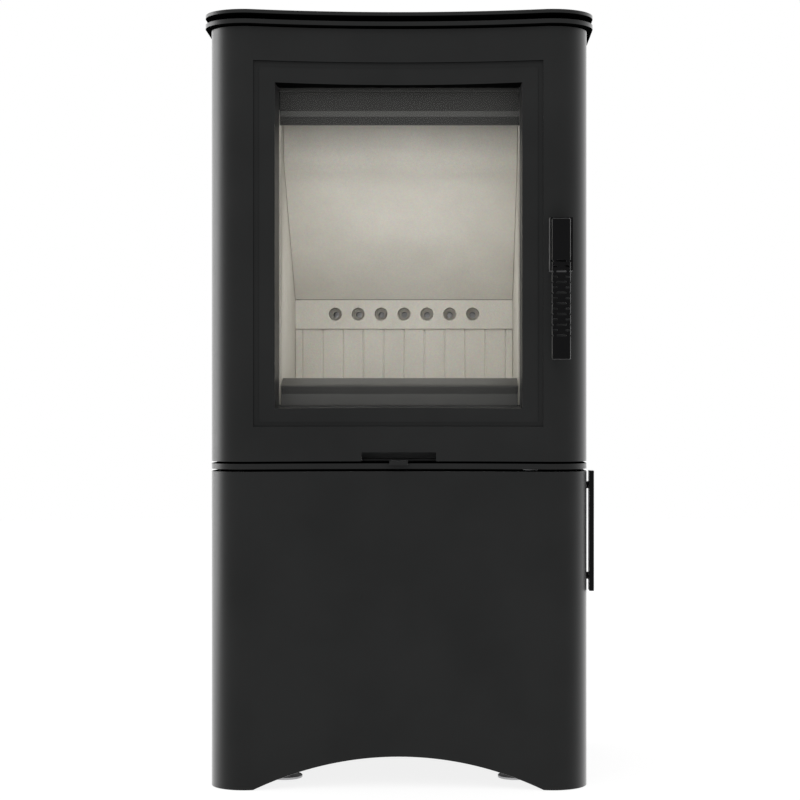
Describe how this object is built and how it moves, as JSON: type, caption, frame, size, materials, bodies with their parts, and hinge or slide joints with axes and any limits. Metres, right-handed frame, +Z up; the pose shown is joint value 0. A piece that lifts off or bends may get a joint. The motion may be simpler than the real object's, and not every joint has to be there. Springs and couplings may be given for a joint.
{
  "type": "wood burning stove",
  "caption": "Freestanding wood burning stove with a concave glazed fire door, vermiculite lined firebox, double top plate, and a pedestal log store behind an arched door.",
  "frame": {"origin": "bottom centre of the box round the whole stove, on the floor it stands on", "axes": "+Z up; -Y is the way the glass door faces; +X to the right of someone facing the stove"},
  "size_m": [0.5298, 0.471, 1.049],
  "materials": {
    "stove_paint": "satin black high-temperature paint, fine texture",
    "inner_steel": "matt dark grey heat-resistant steel",
    "handle_black": "satin black, smooth",
    "vermiculite": "matt pressed vermiculite board",
    "ceramic_glass": "clear heat-resistant ceramic glass",
    "rope_seal": "braided glass-fibre rope",
    "cast_iron": "rough cast",
    "zinc_steel": "zinc plated"
  },
  "bodies": {
    "stove_body": {"top_plate": "stove_paint", "under_plate": "stove_paint", "casing_side_left": "stove_paint", "casing_side_right": "stove_paint", "casing_back": "stove_paint", "rear_flue_cover": "stove_paint", "hearth_plate": "stove_paint", "pedestal_side_left": "stove_paint", "pedestal_side_right": "stove_paint", "pedestal_back": "stove_paint", "plate_spacer": "inner_steel", "top_support_frame": "inner_steel", "base_frame": "inner_steel", "firebox_shell": "inner_steel", "firebox_front_plate": "inner_steel", "air_wash_deflector": "inner_steel", "log_guard": "inner_steel", "hinge_bracket_lower": "inner_steel", "hinge_bracket_upper": "inner_steel", "log_store_liner": "inner_steel", "pedestal_floor": "inner_steel", "outside_air_box": "inner_steel", "log_hinge_bracket_lower": "inner_steel", "log_hinge_bracket_upper": "inner_steel", "ash_pan": "zinc_steel", "rear_heat_shield": "zinc_steel", "latch_keeper": "zinc_steel", "hinge_pin_lower": "zinc_steel", "hinge_pin_upper": "zinc_steel", "levelling_foot_1": "zinc_steel", "levelling_foot_2": "zinc_steel", "levelling_foot_3": "zinc_steel", "levelling_foot_4": "zinc_steel", "outside_air_spigot": "zinc_steel", "log_door_magnet": "zinc_steel", "log_hinge_pin_lower": "zinc_steel", "log_hinge_pin_upper": "zinc_steel", "flue_collar": "cast_iron", "grate": "cast_iron", "hearth_brick": "vermiculite", "back_brick_lower": "vermiculite", "back_air_brick": "vermiculite", "side_brick_left": "vermiculite", "side_brick_right": "vermiculite", "baffle_panel": "vermiculite"},
    "fire_door": {"door_shell": "stove_paint", "window_frame": "stove_paint", "glass_gasket": "rope_seal", "door_glass": "ceramic_glass", "glass_retainer": "inner_steel", "door_inner_frame": "inner_steel", "door_rope_seal": "rope_seal", "door_handle_bracket": "handle_black"},
    "handle_lever": {"door_handle": "handle_black", "handle_spindle": "zinc_steel", "latch_cam": "zinc_steel"},
    "air_control": {"air_slider": "zinc_steel"},
    "log_store_door": {"log_door_shell": "stove_paint", "log_door_inner_frame": "inner_steel", "log_door_handle": "handle_black"}
  },
  "joints": [
    {"name": "fire_door_hinge", "type": "hinge", "parent": "stove_body", "child": "fire_door", "pos_m": [-0.2451, -0.1465, 0.734], "axis": [0, 0, -1], "range_deg": [0, 90]},
    {"name": "door_handle_turn", "type": "hinge", "parent": "fire_door", "child": "handle_lever", "pos_m": [0.21655, -0.2275, 0.7325], "axis": [0, -1, 0], "range_deg": [-12, 45]},
    {"name": "air_control_slide", "type": "slide", "parent": "stove_body", "child": "air_control", "axis": [1, 0, 0], "range_m": [-0.035, 0.035]},
    {"name": "log_store_door_hinge", "type": "hinge", "parent": "stove_body", "child": "log_store_door", "pos_m": [-0.2451, -0.1465, 0.239], "axis": [0, 0, -1], "range_deg": [0, 90]}
  ]
}
